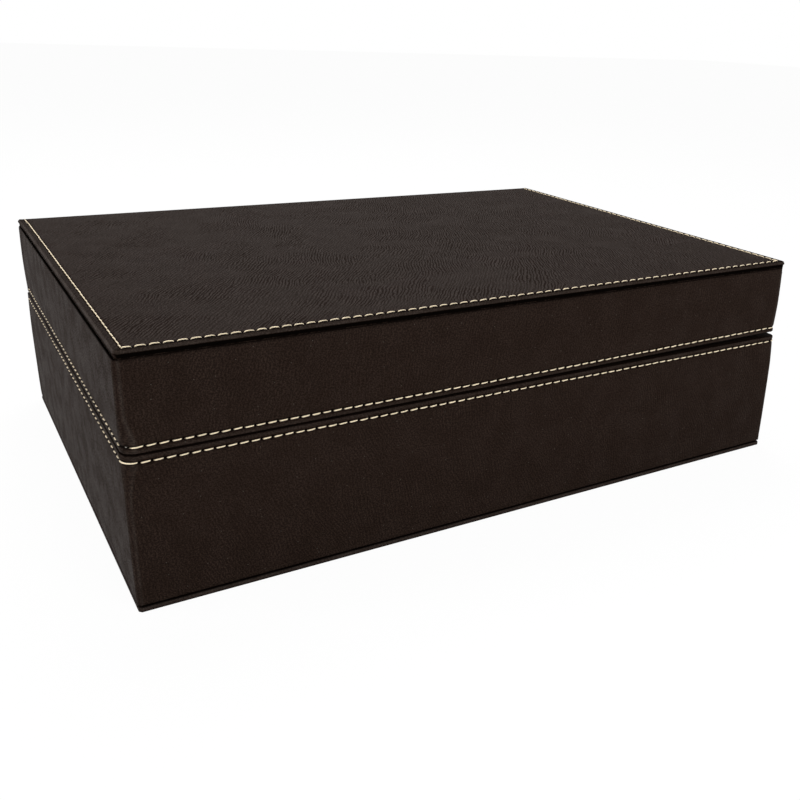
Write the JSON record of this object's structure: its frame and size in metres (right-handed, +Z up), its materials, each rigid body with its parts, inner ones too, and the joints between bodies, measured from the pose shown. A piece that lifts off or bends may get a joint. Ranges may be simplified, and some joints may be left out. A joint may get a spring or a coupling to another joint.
{
  "type": "gift box",
  "caption": "Rectangular leatherette-covered board box with a hinged lid and contrast stitching, for flat papers and keepsakes.",
  "frame": {"origin": "middle of the underside, on the surface that the box stands on", "axes": "+X along the width to the right, -Y is the front with the lid's opening edge, +Y is the hinge side, +Z up"},
  "size_m": [0.3198, 0.2354, 0.1006],
  "materials": {
    "leatherette": "dark brown leatherette with a fine creased grain and a soft sheen",
    "board": "plain grey board",
    "suede_lining": "short-napped dark brown suede cloth on card",
    "stitch_thread": "waxed cream thread"
  },
  "bodies": {
    "base": {"base_cover": "leatherette", "base_wrap": "leatherette", "hinge_leather": "leatherette", "base_panel_board": "board", "base_floor_board": "board", "base_front_board": "board", "base_back_board": "board", "base_left_board": "board", "base_right_board": "board", "base_floor_pad": "suede_lining", "base_front_lining": "suede_lining", "base_back_lining": "suede_lining", "base_left_lining": "suede_lining", "base_right_lining": "suede_lining", "base_cover_left_thread": "stitch_thread", "base_cover_right_thread": "stitch_thread", "base_rim_thread": "stitch_thread"},
    "lid": {"lid_cover": "leatherette", "lid_wrap": "leatherette", "lid_panel_board": "board", "lid_ceiling_board": "board", "lid_front_board": "board", "lid_back_board": "board", "lid_left_board": "board", "lid_right_board": "board", "lid_ceiling_pad": "suede_lining", "lid_front_lining": "suede_lining", "lid_back_lining": "suede_lining", "lid_left_lining": "suede_lining", "lid_right_lining": "suede_lining", "lid_cover_thread": "stitch_thread", "lid_rim_thread": "stitch_thread"}
  },
  "joints": [
    {"name": "lid_hinge", "type": "hinge", "parent": "base", "child": "lid", "pos_m": [0, 0.11715, 0.062], "axis": [-1, 0, 0], "range_deg": [0, 160], "deforming": ["hinge_leather"]}
  ]
}
